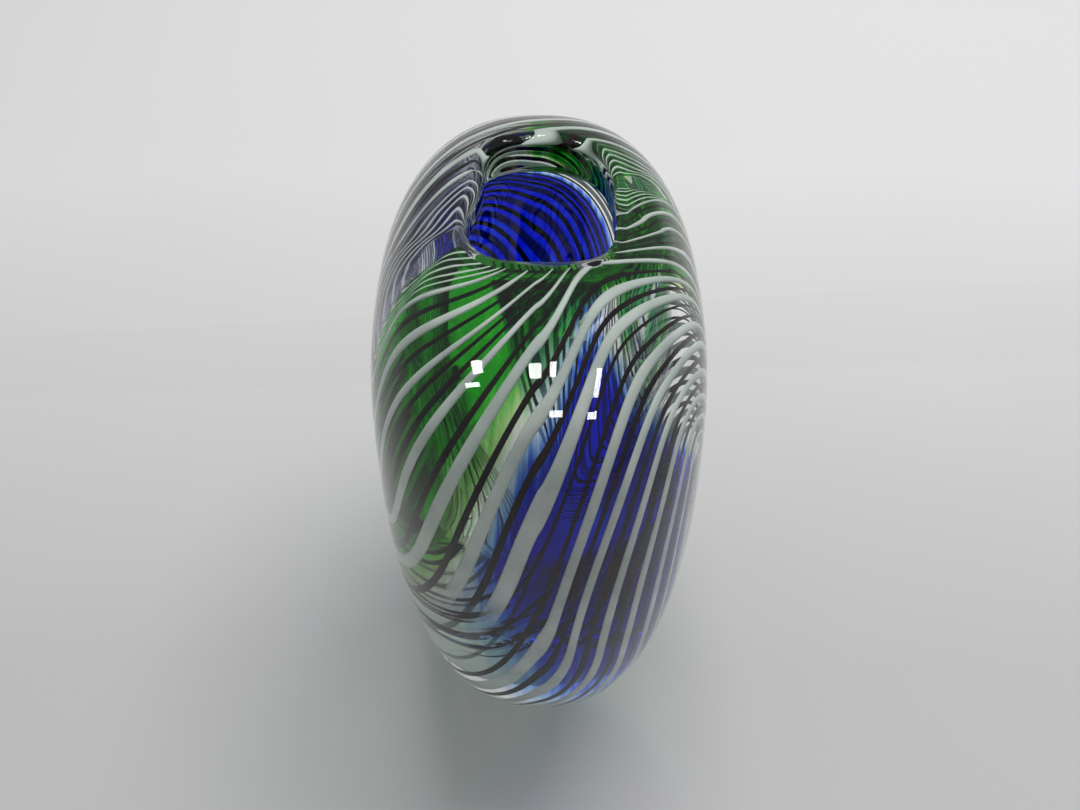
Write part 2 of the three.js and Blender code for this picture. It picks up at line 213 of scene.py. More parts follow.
# ---------------------------------------------------------------- the two clear bodies
COLUMNS = 216
COLUMN_AZIMUTHS = np.arange(COLUMNS) * 360 / COLUMNS
CLOSING_LATITUDE = 50  # above it the rings close in on the mouth instead of staying level
FUSED_BOTTOM_LATITUDE = -135  # lowest ring of the two fused faces
CAVITY_BOTTOM_LATITUDE = -143


def level_ring(latitude, depth):
    """Ring round a layer at one latitude."""
    return layer_point(COLUMN_AZIMUTHS, latitude, depth)


def closing_ring(share, grow, depth):
    """Ring part way from a level slice of a layer to the grown mouth outline."""
    start = level_ring(CLOSING_LATITUDE, depth)
    x, y = mouth_outline(COLUMN_AZIMUTHS, grow)
    x = start[:, 0] + (x - start[:, 0]) * share
    y = start[:, 1] + (y - start[:, 1]) * share
    return np.stack([x, y, layer_top(x, y, depth)], -1)


def lip_ring(grow, depth, drop):
    """Ring on the grown mouth outline, a given drop below the top of a layer."""
    x, y = mouth_outline(COLUMN_AZIMUTHS, grow)
    return np.stack([x, y, layer_top(x, y, depth) - drop], -1)


def ceiling_drop(gap):
    """How far the cavity ceiling hangs under the WALL layer at some distance from the mouth."""
    roll = LIP_ROLL * (1 + np.cos(np.radians(COLUMN_AZIMUTHS - LOWEST_ROLL)))
    fade = 0.5 + 0.5 * np.cos(np.pi * np.clip(gap / ROLL_FADE, 0, 1))
    turn = np.maximum(0.0, 1 - gap / TURN_LENGTH)
    return roll * fade - TURN_RISE * (1 - np.sqrt(1 - turn**2))


def core_ceiling_ring(share):
    """Ring of the cavity ceiling from the closing slice (share 0) to the lip edge (share 1)."""
    ring = closing_ring(share, LIP_EDGE, WALL)
    gap, _ = gap_to_mouth(ring)
    ring[:, 2] -= ceiling_drop(gap)
    return ring


def outer_casing(glass, fused):
    """The clear gather over everything: outside, lip and a fused inner face."""
    foot_share = math.asin(WIDEST_Z / (WIDEST_Z + BELOW_FOOT)) / (math.pi / 2)
    foot_latitude = foot_share * BOTTOM_LATITUDE
    foot = level_ring(foot_latitude, 0)
    foot[:, 2] = 0
    outside = [foot * (share, share, 1) for share in (0.35, 0.7, 0.93, 0.985)]
    outside += [level_ring(foot_latitude * (1 - lift), 0) for lift in (0.004, 0.012)]
    rising = np.linspace(foot_latitude * 0.975, CLOSING_LATITUDE, 100)
    outside += [level_ring(latitude, 0) for latitude in rising]
    outside += [closing_ring(share, LIP_ROUND, 0) for share in np.linspace(0, 1, 40)[1:]]
    for angle in np.radians(np.linspace(0, 90, 11)[1:]):
        drop = LIP_ROUND * (1 - math.cos(angle))
        outside.append(lip_ring(LIP_ROUND * (1 - math.sin(angle)), 0, drop))
    lower = lip_ring(0, WALL, ceiling_drop(0))
    upper = outside[-1]
    outside += [upper + (lower - upper) * share for share in np.linspace(0, 1, 9)[1:]]
    outside += [lip_ring(grow, WALL, ceiling_drop(grow)) for grow in (0.1, 0.3, 0.6, 0.9, LIP_EDGE)]
    inside = [closing_ring(share, LIP_EDGE, CASING_DEPTH) for share in np.linspace(1, 0, 14)[:-1]]
    falling = np.linspace(CLOSING_LATITUDE, FUSED_BOTTOM_LATITUDE, 40)
    inside += [level_ring(latitude, CASING_DEPTH) for latitude in falling]
    mesh = skin("outer_casing", outside + inside, (0, 0, 0), (0, 0, FOOT_GLASS + CASING_DEPTH))
    use_second_material(mesh, len(outside) - 1, len(outside) + len(inside) + 1)
    return finish_piece(mesh, "casing_glass", [glass, fused], ["outer_casing"])


def inner_core(glass, fused):
    """The clear bubble round the cavity: a fused outer face and the cavity surface."""
    rising = np.linspace(FUSED_BOTTOM_LATITUDE, CLOSING_LATITUDE, 40)
    outside = [level_ring(latitude, CORE_DEPTH) for latitude in rising]
    outside += [closing_ring(share, LIP_EDGE, CORE_DEPTH) for share in np.linspace(0, 1, 14)[1:]]
    inside = [core_ceiling_ring(share) for share in 1 - np.linspace(0, 1, 44)[:-1] ** 1.5]
    falling = np.linspace(CLOSING_LATITUDE, CAVITY_BOTTOM_LATITUDE, 110)
    inside += [level_ring(latitude, WALL) for latitude in falling]
    bottom = FOOT_GLASS + CORE_DEPTH
    mesh = skin("inner_core", outside + inside, (0, 0, bottom), (0, 0, CAVITY_FLOOR_Z))
    use_second_material(mesh, -1, len(outside))
    return finish_piece(mesh, "core_glass", [glass, fused], ["inner_core"])


# ---------------------------------------------------------------- the combing
# Each course of thread was wound level and then combed. Going round the vase it runs from a
# trough up a leg to a crest and down the other leg to the next trough, once across the front and
# once across the back. Each of these eight stretches is a cubic arc, close to a quarter of an
# ellipse, that is level at its trough or crest. At its leg it is upright, or leans by the leg's
# slant, in degrees of azimuth to a degree of latitude. Courses are counted from the mouth down.
# The lists hold the values of the courses in KEY_COURSES, and every other course lies between.
KEY_COURSES = (-2, 0, 2, 4, 6, 8, 12)
TROUGH_LATITUDE = (62, 25, -5, -25, -55, -105, -140)
LEFT_TROUGH = -75
RIGHT_TROUGH = 105
FRONT_LEFT_SLANT = (0.1, 0.1, 0.35, 0.45, 0.3, 0.1, 0)
# left leg, crest and right leg, each as azimuths and latitudes
FRONT_COMBING = (
    ((-72, -69, -56, -30, -4, 8, 46), (74, 50, 30, 20, 12, -25, -55)),
    ((35, 35, 32, 36, 39, 49, 61), (89, 87, 82, 78, 63, 44, 18)),
    ((104.5, 104, 95, 86, 82, 79, 75), (74, 50, 45, 40, 33, 24, -28)),
)
BACK_COMBING = (
    ((112, 120, 128, 134, 137, 150, 194), (74, 45, 27, 10, -4, -22, -38)),
    ((205, 205, 200, 202, 205, 207, 226), (89, 82, 67, 52, 38, 28, 7)),
    ((278, 270, 268, 266, 264, 262, 256), (74, 50, 25, 8, -16, -38, -70)),
)
PHASES = 8  # arcs once round the vase, counted from the left trough
ARC_PULL = 1.66  # pull of the end directions that makes a cubic arc nearly elliptical


def at_course(number, values):
    """Value of a list at course numbers, which may lie a little past the last key course."""
    lower = np.clip(np.searchsorted(KEY_COURSES, number, "right") - 1, 0, len(KEY_COURSES) - 2)
    keys, values = np.array(KEY_COURSES, float), np.array(values, float)
    share = (number - keys[lower]) / (keys[lower + 1] - keys[lower])
    return values[lower] + (values[lower + 1] - values[lower]) * share


def course_spot(number, phase):
    """(azimuth, latitude) of courses at phases from 0 to PHASES."""
    number, phase = np.broadcast_arrays(np.asarray(number, float), np.asarray(phase, float))
    trough = at_course(number, TROUGH_LATITUDE)

    def trough_at(azimuth):
        return np.full_like(number, azimuth), trough

    def turns(combing):
        return [[at_course(number, values) for values in turn] for turn in combing]

    ends = [trough_at(LEFT_TROUGH), *turns(FRONT_COMBING)]
    ends += [trough_at(RIGHT_TROUGH), *turns(BACK_COMBING)]
    ends += [trough_at(LEFT_TROUGH + 360)]
    ends = np.moveaxis(np.array(ends), 1, -1)
    slants = [np.zeros_like(number)] * len(ends)
    slants[1] = at_course(number, FRONT_LEFT_SLANT)
    slants = np.array(slants)
    arc = np.minimum(phase.astype(int), PHASES - 1)
    start, end = (np.take_along_axis(ends, (arc + k)[None, ..., None], 0)[0] for k in (0, 1))
    slant = sum(np.take_along_axis(slants, (arc + k)[None], 0)[0] for k in (0, 1))
    step = end - start
    level = step * (1, 0)
    leaning = np.stack([step[..., 1] * slant, step[..., 1]], -1)
    starts_level = (arc % 2 == 0)[..., None]
    leaving = np.where(starts_level, level, leaning)
    arriving = np.where(starts_level, leaning, level)
    t = (phase - arc)[..., None]
    bow = leaving * t * (1 - t) ** 2 - arriving * t**2 * (1 - t)
    return start + step * t**2 * (3 - 2 * t) + ARC_PULL * bow


# ---------------------------------------------------------------- the threads
# Each thread lies between two courses, which its edges follow.
WHITE_THREADS = (
    (0, 0.16), (0.86, 1.14), (1.9, 2.1), (2.88, 3.12), (3.82, 4.14), (4.85, 5.18), (5.72, 6.1),
    (6.98, 7.32), (7.8, 8.12), (8.8, 9.14), (9.8, 10.14), (10.8, 11.14), (11.75, 12),
)
DARK_THREADS = (
    (0.42, 0.6), (1.4, 1.56), (2.24, 2.38), (2.6, 2.76), (3.5, 3.68), (4.5, 4.68), (5.4, 5.58),
    (6.24, 6.34), (6.68, 6.83), (7.45, 7.64), (8.36, 8.6), (9.36, 9.6), (10.36, 10.6),
    (11.36, 11.58),
)
WHITE_FULLNESS = 0.96  # share of the room between its courses that a thread fills
DARK_FULLNESS = 0.86
FOOT_LATITUDE = -116  # threads stop short of the foot
MOUTH_LATITUDE = 40  # only above it can a thread or a sheet run out through the mouth

# How far outside the mouth the threads stop, and how much farther on the left.
LEAST_END_GAP = 1.4
LEFT_END_GAP = 4.6
END_GAP_SPREAD = 42

# The low left of the front, where a few threads are drawn out so thin that the glass looks clear.
THIN_COURSES = (4.7, 6.5)
WINDOW_AZIMUTH = 4
WINDOW_LATITUDE = 4
WINDOW_BLEND = 18
THREAD_SAMPLES = 720
SHORTEST_THREAD = 16  # samples
SECTION_POINTS = 10
SECTION_SQUARENESS = 0.75  # under 1, the section of a thread is squarer than an ellipse
SWELL = 0.16  # how strongly the width of a thread wanders
TAPER = 9  # samples over which an open end narrows

# How the CAD samples its threads and cuts them round the mouth.
CAD_SAMPLES = 240
CAD_SHORTEST_THREAD = 8  # samples
CAD_THREAD_TOP = 3.4
CAD_LIP_RING = 4.8


def course_line(number):
    """(azimuth, latitude) samples once round the vase."""
    return course_spot(number, np.arange(THREAD_SAMPLES) * PHASES / THREAD_SAMPLES)


def thread_end_gap(bearing):
    """How far outside the mouth the threads stop: close to it, but well back on the left."""
    left = np.exp(-(((bearing - LEFT_TROUGH) / END_GAP_SPREAD) ** 2))
    return LEAST_END_GAP + LEFT_END_GAP * left


def stretches(valid, shortest):
    """Stretches of true samples round a closed course, as index arrays longer than the shortest."""
    if valid.all():
        return [np.arange(len(valid))]
    start = int(np.argmin(valid))
    order = (start + np.arange(len(valid))) % len(valid)
    cuts = np.flatnonzero(np.diff(valid[order].astype(int))) + 1
    return [run for run in np.split(order, cuts) if valid[run[0]] and len(run) > shortest]


def shown_stretches(lines):
    """Stretches of a thread outside the mouth and above the foot."""
    valid = np.ones(THREAD_SAMPLES, bool)
    for line in lines:
        gap, bearing = gap_to_mouth(layer_point(line[:, 0], line[:, 1], THREAD_TOP))
        high = line[:, 1] > MOUTH_LATITUDE
        valid &= line[:, 1] > FOOT_LATITUDE
        valid &= ~high | (gap > thread_end_gap(bearing))
    return stretches(valid, SHORTEST_THREAD)


def cad_stretches(lines):
    """Stretches into which the CAD cuts a thread, wherever it comes under the CAD's lip ring."""
    step = THREAD_SAMPLES // CAD_SAMPLES
    valid = np.ones(CAD_SAMPLES, bool)
    for line in lines:
        line = line[::step]
        gap, _ = gap_to_mouth(layer_point(line[:, 0], line[:, 1], CAD_THREAD_TOP))
        valid &= (line[:, 1] > FOOT_LATITUDE) & (gap > CAD_LIP_RING)
    return [run * step for run in stretches(valid, CAD_SHORTEST_THREAD)]


def wobble(count, seed):
    """Slow, irregular swelling along a thread, that meets itself when the thread is closed."""
    random = np.random.default_rng(seed)
    along = np.arange(count) / count * 2 * math.pi
    total = np.zeros(count)
    for waves in (3, 5, 8, 13, 21, 34):
        total += np.sin(waves * along + random.uniform(0, 2 * math.pi)) / waves**0.6
    return total * 0.35


def thread_mesh(name, lines, run, fullness, strength, seed):
    """A flattened rope of glass between two course lines, tapered where it ends.

    fullness is the share of the room between the lines that it fills.
    """
    closed = len(run) == THREAD_SAMPLES
    left, right = (line[run] for line in lines)
    middle = (left + right) / 2
    half = (right - left) / 2
    count = len(run)
    width = fullness * (1 + SWELL * wobble(count, seed))
    if not closed:
        nearest = np.minimum(np.arange(count), np.arange(count)[::-1])
        width = width * np.minimum(1, np.sqrt((nearest + 0.6) / TAPER))
    rings = []
    for angle in np.arange(SECTION_POINTS) * 2 * math.pi / SECTION_POINTS:
        across = signed_power(math.cos(angle), SECTION_SQUARENESS)
        spots = middle + half * (width * across)[:, None]
        outer = layer_point(spots[:, 0], spots[:, 1], THREAD_TOP)
        inner = layer_point(spots[:, 0], spots[:, 1], THREAD_BOTTOM)
        lift = 0.5 + 0.5 * math.sin(angle) * np.minimum(1, width)
        rings.append(inner + (outer - inner) * lift[:, None])
    points = np.stack(rings, 1).reshape(-1, 3)
    sections = count if closed else count - 1
    faces = []
    for k in range(sections):
        here = k * SECTION_POINTS
        there = (k + 1) % count * SECTION_POINTS
        for side in range(SECTION_POINTS):
            other = (side + 1) % SECTION_POINTS
            faces.append((here + side, there + side, there + other, here + other))
    if not closed:
        end = (count - 1) * SECTION_POINTS
        faces.append(tuple(range(SECTION_POINTS)))
        faces.append(tuple(end + side for side in reversed(range(SECTION_POINTS))))
    mesh = mesh_from(name, points, faces)
    dense = mesh.attributes.new("strength", "FLOAT", "POINT")
    dense.data.foreach_set("value", np.repeat(strength[run], SECTION_POINTS))
    return mesh


def thread_strength(course, spots):
    """How dense a thread is: it thins out to a ghost where it sags under the belly on the left."""
    first, last = THIN_COURSES
    if not first < course < last:
        return np.ones(len(spots))
    beyond = np.stack([WINDOW_AZIMUTH + WINDOW_BLEND - spots[:, 0], WINDOW_LATITUDE - spots[:, 1]])
    inside = np.clip(beyond / WINDOW_BLEND, 0, 1)
    inside = inside**2 * (3 - 2 * inside)
    return 1 - inside[0] * inside[1]


def lay_threads(prefix, threads, fullness, material):
    """Makes the threads. Each stands for the CAD threads whose stretches it covers."""
    cad_count = 0
    number = 0
    for edges in threads:
        lines = [course_line(edge) for edge in edges]
        course = sum(edges) / 2
        strength = thread_strength(course, course_line(course))
        cad = []
        for stretch in cad_stretches(lines):
            cad_count += 1
            cad.append((f"{prefix}_thread_{cad_count:02d}", stretch))
        for run in shown_stretches(lines):
            number += 1
            name = f"{prefix}_glass_thread_{number:02d}"
            nodes = [node for node, stretch in cad if np.isin(stretch, run).any()]
            mesh = thread_mesh(name, lines, run, fullness, strength, seed=number)
            finish_piece(mesh, name, [material], nodes)


# ---------------------------------------------------------------- the colour overlays
# The sheets were combed with the threads, so each spans some courses, from the upper one to the
# lower one, and some phases along them.
GREEN_FRONT = ((-1.8, 4.9), (0.05, 3.9))
COBALT_FRONT = ((5, 12.8), (0.6, 1.9))
GREEN_BACK = ((-1.8, 4.3), (4.1, 5.9))
COBALT_BACK = ((6.1, 12.6), (4.7, 6.6))
VIOLET_LEFT = ((-1.8, 3.2), (6.2, 7.95))
OVERLAY_LIP_GAP = 1.6
COURSE_STEP = 0.02
PATCH_ALONG = 120  # faces along and across a sheet
PATCH_ACROSS = 48


def first_clear_course(course, phases):
    """The highest courses, no higher than a given one, that are clear of the mouth."""
    number = np.full(len(phases), float(course))
    while True:
        spots = course_spot(number, phases)
        gap, _ = gap_to_mouth(layer_point(spots[:, 0], spots[:, 1], OVERLAY_LAYER[1]))
        inside = (gap < OVERLAY_LIP_GAP) & (spots[:, 1] > MOUTH_LATITUDE)
        if not inside.any():
            return number
        number[inside] += COURSE_STEP


def sheet_faces():
    """Faces of a sheet: a grid of points outside, the same grid under it and a rim between them."""
    across = PATCH_ACROSS + 1
    under = (PATCH_ALONG + 1) * across
    faces = []
    for i in range(PATCH_ALONG):
        for j in range(PATCH_ACROSS):
            a = i * across + j
            quad = (a, a + across, a + across + 1, a + 1)
            faces.append(quad)
            faces.append(tuple(under + k for k in reversed(quad)))
    rim = [i * across for i in range(PATCH_ALONG + 1)]
    rim += [PATCH_ALONG * across + j for j in range(1, across)]
    rim += [i * across + PATCH_ACROSS for i in reversed(range(PATCH_ALONG))]
    rim += list(reversed(range(1, PATCH_ACROSS)))
    for a, b in zip(rim, rim[1:] + rim[:1]):
        faces.append((b, a, under + a, under + b))
    return faces


def add_uv_layer(mesh, name, columns, rows):
    """Stores a pair of numbers for each grid point of a sheet, the same outside and under it."""
    values = np.stack(np.broadcast_arrays(columns, rows), -1).reshape(-1, 2)
    both = np.concatenate([values, values])
    corners = np.zeros(len(mesh.loops), int)
    mesh.loops.foreach_get("vertex_index", corners)
    mesh.uv_layers.new(name=name).data.foreach_set("uv", both[corners].ravel())


def overlay(name, node, extent, material):
    """A thin sheet of coloured glass over some courses and phases."""
    (top, bottom), (first, last) = extent
    phases = np.linspace(first, last, PATCH_ALONG + 1)
    upper = first_clear_course(top, phases)[:, None]
    phases = phases[:, None]
    along = np.linspace(0, 1, PATCH_ALONG + 1)[:, None]
    across = np.linspace(0, 1, PATCH_ACROSS + 1)[None, :]
    numbers = bottom + (upper - bottom) * across
    spots = course_spot(numbers, phases)
    azimuth, latitude = spots[..., 0], spots[..., 1]
    layers = [layer_point(azimuth, latitude, depth).reshape(-1, 3) for depth in OVERLAY_LAYER]
    mesh = mesh_from(name, np.concatenate(layers), sheet_faces())
    add_uv_layer(mesh, "patch", along, across)
    add_uv_layer(mesh, "winding", azimuth / 90, latitude / 90)
    add_uv_layer(mesh, "course", phases, numbers)
    return finish_piece(mesh, name, [material], [node])


# ---------------------------------------------------------------- materials
class Nodes:
    """A new material and short ways to add nodes to it."""

    def __init__(self, name):
        self.material = bpy.data.materials.new(name)
        self.material.use_nodes = True
        self.tree = self.material.node_tree
        self.tree.nodes.clear()
        self.output = self.tree.nodes.new("ShaderNodeOutputMaterial")

    def add(self, kind, settings=None, **inputs):
        node = self.tree.nodes.new(kind)
        for key, value in (settings or {}).items():
            setattr(node, key, value)
        for key, value in inputs.items():
            self.set(node, key.replace("_", " "), value)
        return node

    def set(self, node, key, value):
        socket = node.inputs[key] if not str(key).isdigit() else node.inputs[int(key)]
        if isinstance(value, bpy.types.NodeSocket):
            self.tree.links.new(value, socket)
        else:
            socket.default_value = value

    def math(self, operation, a, b=0.5, clamp=False):
        node = self.add("ShaderNodeMath", {"operation": operation, "use_clamp": clamp})
        self.set(node, 0, a)
        self.set(node, 1, b)
        return node.outputs[0]

    def ramp(self, factor, stops):
        node = self.add("ShaderNodeValToRGB", Fac=factor)
        elements = node.color_ramp.elements
        while len(elements) < len(stops):
            elements.new(1.0)
        for element, (place, colour) in zip(elements, stops):
            element.position = place
            element.color = (*colour, 1) if len(colour) == 3 else colour
        return node.outputs["Color"]

    def noise(self, vector, scale, detail=2.0, roughness=0.5):
        node = self.add("ShaderNodeTexNoise", Vector=vector, Scale=scale, Detail=detail)
        node.inputs["Roughness"].default_value = roughness
        return node.outputs["Fac"]

    def place(self, scale=(1, 1, 1), uv=None):
        """Texture place: the piece's own coordinates in metres, or a named UV layer."""
        if uv:
            source = self.add("ShaderNodeUVMap", {"uv_map": uv}).outputs["UV"]
        else:
            source = self.add("ShaderNodeTexCoord").outputs["Object"]
        node = self.add("ShaderNodeMapping", Vector=source)
        node.inputs["Scale"].default_value = scale
        return node.outputs["Vector"]

    def show(self, shader):
        self.tree.links.new(shader, self.output.inputs["Surface"])
        return self.material


def lets_lamps_through(nodes, shader, tint):
    """Glass that lights shine through without caustic noise."""
    path = nodes.add("ShaderNodeLightPath")
    clear = nodes.add("ShaderNodeBsdfTransparent", Color=tint)
    soft = nodes.math("MAXIMUM", path.outputs["Is Shadow Ray"], path.outputs["Is Diffuse Ray"])
    mix = nodes.add("ShaderNodeMixShader", Fac=soft)
    nodes.set(mix, 1, shader)
    nodes.set(mix, 2, clear.outputs[0])
    return mix.outputs[0]


def clear_glass(name, wave_height):
    """Fire polished clear glass, very slightly streaked, with waves of a height in metres."""
    nodes = Nodes(name)
    streaks = nodes.noise(nodes.place((25, 25, 8)), 1.0, 3)
    tint = nodes.ramp(streaks, ((0.3, (0.93, 0.955, 0.95)), (0.7, (0.965, 0.975, 0.97))))
    waves = nodes.noise(nodes.place((38, 30, 22)), 1.0, 1)
    bump = nodes.add("ShaderNodeBump", Height=waves, Distance=wave_height)
    bump.inputs["Strength"].default_value = 1.0
    glass = nodes.add("ShaderNodeBsdfPrincipled", Roughness=0.0, IOR=1.5)
    nodes.set(glass, "Base Color", tint)
    nodes.set(glass, "Normal", bump.outputs["Normal"])
    nodes.set(glass, "Transmission Weight", 1.0)
    return nodes.show(lets_lamps_through(nodes, glass.outputs[0], (0.93, 0.95, 0.94, 1)))


def fused_glass():
    """A face where two layers of glass have melted together, so that it can't be seen."""
    nodes = Nodes("fused_glass")
    clear = nodes.add("ShaderNodeBsdfTransparent", Color=(1, 1, 1, 1))
    return nodes.show(clear.outputs[0])


def thread_glass(name, dense, thin, least_cover):
    """Matt colour inside the clear wall, see-through where a thread is drawn out thin.

    dense and thin are its colours where the glass is thick and where it is thin; least_cover is
    how much of what lies behind it a ghost of a thread still hides.
    """
    nodes = Nodes(name)
    patches = nodes.noise(nodes.place((60, 60, 60)), 1.0, 3)
    colour = nodes.ramp(patches, ((0.35, thin), (0.65, dense)))
    shader = nodes.add("ShaderNodeBsdfPrincipled", Roughness=0.5)
    nodes.set(shader, "Specular IOR Level", 0.0)
    nodes.set(shader, "Base Color", colour)
    glow = nodes.add("ShaderNodeBsdfTranslucent", Color=colour)
    lit = nodes.add("ShaderNodeMixShader", Fac=0.3)
    nodes.set(lit, 1, shader.outputs[0])
    nodes.set(lit, 2, glow.outputs[0])
    strength = nodes.add("ShaderNodeAttribute", {"attribute_name": "strength"}).outputs["Fac"]
    cover = nodes.math("MULTIPLY_ADD", strength, 1 - least_cover)
    cover.node.inputs[2].default_value = least_cover
    clear = nodes.add("ShaderNodeBsdfTransparent", Color=(1, 1, 1, 1))
    mix = nodes.add("ShaderNodeMixShader", Fac=cover)
    nodes.set(mix, 1, clear.outputs[0])
    nodes.set(mix, 2, lit.outputs[0])
    return nodes.show(mix.outputs[0])


# Fine trails, and how the colour of a sheet varies.
TRAIL_COLOUR = (0.62, 0.67, 0.64)
TRAIL_SPACING = 0.3  # in courses
TRAIL_DRIFT = 5.0  # radians by which the trails wander out of step
TRAIL_CREST = 0.45  # a trail shows only where its wave rises above this
TRAIL_EDGE = 2.2  # how fast a trail turns dense there
TRAIL_FADE = 4.0  # how fast the trails come in above course 0
TRAIL_COVER = 0.7
STREAK_COVER = 0.7  # how much the streaks and the clouds add to the thickness of a sheet
CLOUD_COVER = 0.9
LEAST_COVER = 0.2
RAGGED_EDGE = 0.12  # share of the sheet by which streaks move its edges


def overlay_glass(name, tints, streak_count, soft_edges):
    """Transparent coloured sheet with vertical streaks, thinning out at its edges.

    tints run from thin to thick glass; soft_edges are the shares of the sheet over which each
    of its four edges fades, in the order start, end, inner border, outer border.
    """
    nodes = Nodes(name)
    places = nodes.add("ShaderNodeUVMap", {"uv_map": "patch"}).outputs["UV"]
    split = nodes.add("ShaderNodeSeparateXYZ", Vector=places)
    streaks = nodes.noise(nodes.place((streak_count, 1.2, 1), "winding"), 1.0, 3)
    cloud = nodes.noise(nodes.place((6, 6, 1), "winding"), 1.0, 3)
    cover = nodes.math("MULTIPLY_ADD", streaks, STREAK_COVER)
    cover.node.inputs[2].default_value = LEAST_COVER
    cover = nodes.math("ADD", cover, nodes.math("MULTIPLY", cloud, CLOUD_COVER))
    along, across = split.outputs["X"], split.outputs["Y"]
    ragged = nodes.math("MULTIPLY", nodes.math("SUBTRACT", streaks, 0.5), RAGGED_EDGE)
    for place, share in (
        (along, soft_edges[0]),
        (nodes.math("SUBTRACT", 1.0, along), soft_edges[1]),
        (across, soft_edges[2]),
        (nodes.math("SUBTRACT", 1.0, across), soft_edges[3]),
    ):
        if share > 0:
            near = nodes.math("DIVIDE", nodes.math("ADD", place, ragged), share, clamp=True)
            cover = nodes.math("MULTIPLY", cover, near)
    stops = [(index / (len(tints) - 1), tint) for index, tint in enumerate(tints)]
    tint = nodes.ramp(cover, stops)
    clear = nodes.add("ShaderNodeBsdfTransparent", Color=tint)
    mix = nodes.add("ShaderNodeMixShader", Fac=fine_trails(nodes))
    trail = nodes.add("ShaderNodeBsdfDiffuse", Color=(*TRAIL_COLOUR, 1))
    nodes.set(mix, 1, clear.outputs[0])
    nodes.set(mix, 2, trail.outputs[0])
    return nodes.show(mix.outputs[0])


def fine_trails(nodes):
    """Faint white trails along the courses nearest the mouth, too fine to be threads."""
    source = nodes.add("ShaderNodeUVMap", {"uv_map": "course"}).outputs["UV"]
    number = nodes.add("ShaderNodeSeparateXYZ", Vector=source).outputs["Y"]
    drift = nodes.noise(nodes.place((3, 1.5, 1), "course"), 1.0, 2)
    swing = nodes.math("MULTIPLY_ADD", number, 2 * math.pi / TRAIL_SPACING)
    nodes.set(swing.node, 2, nodes.math("MULTIPLY", drift, TRAIL_DRIFT))
    crest = nodes.math("SUBTRACT", nodes.math("SINE", swing), TRAIL_CREST)
    line = nodes.math("MULTIPLY", crest, TRAIL_EDGE, clamp=True)
    above = nodes.math("SUBTRACT", 0.0, number)
    near_mouth = nodes.math("MULTIPLY", above, TRAIL_FADE, clamp=True)
    return nodes.math("MULTIPLY", nodes.math("MULTIPLY", line, near_mouth), TRAIL_COVER)


def paper(name, near, far, shadow_fade_length):
    """Backdrop paper with a painted shadow: one, darker colour at the vase, turning to another
    behind it.
    """
    nodes = Nodes(name)
    mottle = nodes.noise(nodes.place((6, 6, 6)), 1.0, 4)
    split = nodes.add("ShaderNodeSeparateXYZ", Vector=nodes.place())
    behind = nodes.math("DIVIDE", split.outputs["Y"], shadow_fade_length)
    # painted shadow of the vase: the paper darkens towards the vase, with a random mottle over it
    shade = nodes.math("ADD", behind, nodes.math("MULTIPLY", mottle, 0.2))
    shader = nodes.add("ShaderNodeBsdfPrincipled", Roughness=0.75, IOR=1.4)
    nodes.set(shader, "Base Color", nodes.ramp(shade, ((0.0, near), (1.0, far))))
    return nodes.show(shader.outputs[0])


# ---------------------------------------------------------------- build the vase
casing_material = clear_glass("casing_clear_glass", wave_height=0.00012)
core_material = clear_glass("core_clear_glass", wave_height=0.00025)
fused_material = fused_glass()
outer_casing(casing_material, fused_material)
inner_core(core_material, fused_material)

GREEN_TINTS = ((1, 1, 1), (0.66, 0.88, 0.5), (0.26, 0.76, 0.22), (0.1, 0.62, 0.1))
COBALT_TINTS = ((1, 1, 1), (0.58, 0.75, 0.97), (0.14, 0.31, 0.9), (0.03, 0.08, 0.76))
VIOLET_TINTS = ((1, 1, 1), (0.85, 0.86, 0.9), (0.68, 0.68, 0.77), (0.5, 0.49, 0.6))
green = overlay_glass("green_overlay_glass", GREEN_TINTS, 40, (0.1, 0.1, 0.25, 0))
cobalt = overlay_glass("cobalt_overlay_glass", COBALT_TINTS, 40, (0.3, 0.14, 0.06, 0.1))
violet = overlay_glass("violet_overlay_glass", VIOLET_TINTS, 40, (0.2, 0.2, 0.3, 0))
overlay("green_sheet_front", "green_overlay_front", GREEN_FRONT, green)
overlay("cobalt_sheet_front", "cobalt_overlay_front", COBALT_FRONT, cobalt)
overlay("green_sheet_back", "green_overlay_back", GREEN_BACK, green)
overlay("cobalt_sheet_back", "cobalt_overlay_back", COBALT_BACK, cobalt)
overlay("violet_sheet_left", "violet_overlay_left", VIOLET_LEFT, violet)

DENSE_WHITE = (0.7, 0.75, 0.7)
THIN_WHITE = (0.52, 0.58, 0.54)
DENSE_AMETHYST = (0.003, 0.002, 0.004)
THIN_AMETHYST = (0.015, 0.005, 0.007)
white_enamel = thread_glass("white_enamel_glass", DENSE_WHITE, THIN_WHITE, least_cover=0.08)
amethyst = thread_glass("amethyst_thread_glass", DENSE_AMETHYST, THIN_AMETHYST, least_cover=0.45)
lay_threads("white", WHITE_THREADS, WHITE_FULLNESS, white_enamel)
lay_threads("dark", DARK_THREADS, DARK_FULLNESS, amethyst)


# ---------------------------------------------------------------- studio, in metres
# Window panes round the vase. A row gives the bearing (0 is towards -Y, 90 is towards +X), the
# elevation, and the width and height, all in degrees as seen from the front shoulder of the vase.
WINDOW_PANES = (
    (-75, 55, 8, 8),
    (-65, 45, 12, 3),
    (-5, 75, 4, 10),
    (20, 75, 3, 10),
    (10, 45, 7, 5),
    (60, 50, 4, 18),
    (40, 35, 7, 5),
)
PANE_DISTANCE = 0.9
PANE_BRIGHTNESS = 70  # watts to a square metre of pane
FRONT_SHOULDER = (0.0, -0.06, 0.175)

